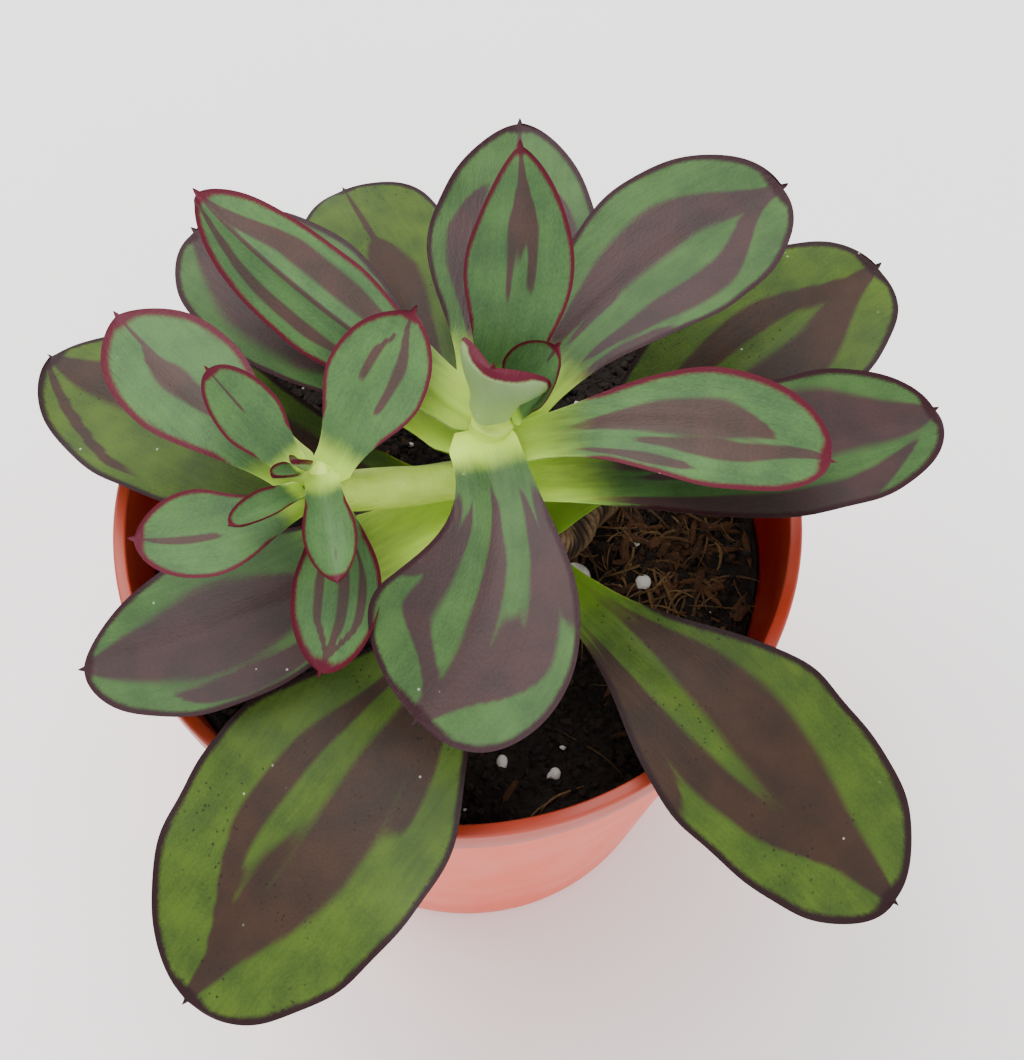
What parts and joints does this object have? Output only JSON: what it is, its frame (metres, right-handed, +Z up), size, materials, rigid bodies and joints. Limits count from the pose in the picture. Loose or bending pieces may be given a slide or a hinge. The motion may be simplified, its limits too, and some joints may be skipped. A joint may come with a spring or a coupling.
{
  "type": "potted succulent",
  "caption": "Striped rosette succulent with a woody trunk and a side shoot, spreading over the rim of a round plastic nursery pot filled with dark soil.",
  "frame": {"origin": "centre of the pot's flat foot, on the surface it stands on", "axes": "+Z up, +X to the right and -Y to the front as the plant is first seen"},
  "size_m": [0.1343, 0.1296, 0.1531],
  "materials": {
    "pot": "moulded terracotta-coloured plastic, satin",
    "soil": "loose dark potting mix with bark crumbs",
    "bark": "dry ridged bark with leaf-scar rings",
    "shoot": "smooth pale green living stem",
    "leaf_young": "waxy grey-green flesh with crimson margin, satin",
    "leaf_mature": "waxy flesh striped purple-brown and green, satin",
    "leaf_old": "waxy olive flesh with purple-brown stripes, satin",
    "perlite": "rough white grain"
  },
  "bodies": {
    "root": {"pot": "pot", "soil": "soil", "trunk": "bark", "side_shoot": "shoot", "leaf_centre_front": "leaf_young", "leaf_centre_back": "leaf_young", "leaf_back_young": "leaf_young", "leaf_back_right": "leaf_mature", "leaf_back_left_upper": "leaf_young", "leaf_right_upper": "leaf_young", "leaf_front": "leaf_mature", "leaf_back": "leaf_mature", "leaf_back_left_lower": "leaf_mature", "leaf_right_lower": "leaf_mature", "leaf_back_left_old": "leaf_old", "leaf_front_left": "leaf_mature", "leaf_left_old": "leaf_old", "leaf_right_old": "leaf_old", "leaf_front_left_old": "leaf_old", "leaf_front_right_old": "leaf_old", "side_leaf_bud_left": "leaf_young", "side_leaf_bud_right": "leaf_young", "side_leaf_front_inner": "leaf_young", "side_leaf_left_small": "leaf_young", "side_leaf_left_inner": "leaf_young", "side_leaf_right": "leaf_young", "side_leaf_left": "leaf_young", "side_leaf_front_left": "leaf_young", "side_leaf_front": "leaf_young", "perlite_1": "perlite", "perlite_2": "perlite", "perlite_3": "perlite", "perlite_4": "perlite", "perlite_5": "perlite", "perlite_6": "perlite", "perlite_7": "perlite"}
  },
  "joints": []
}
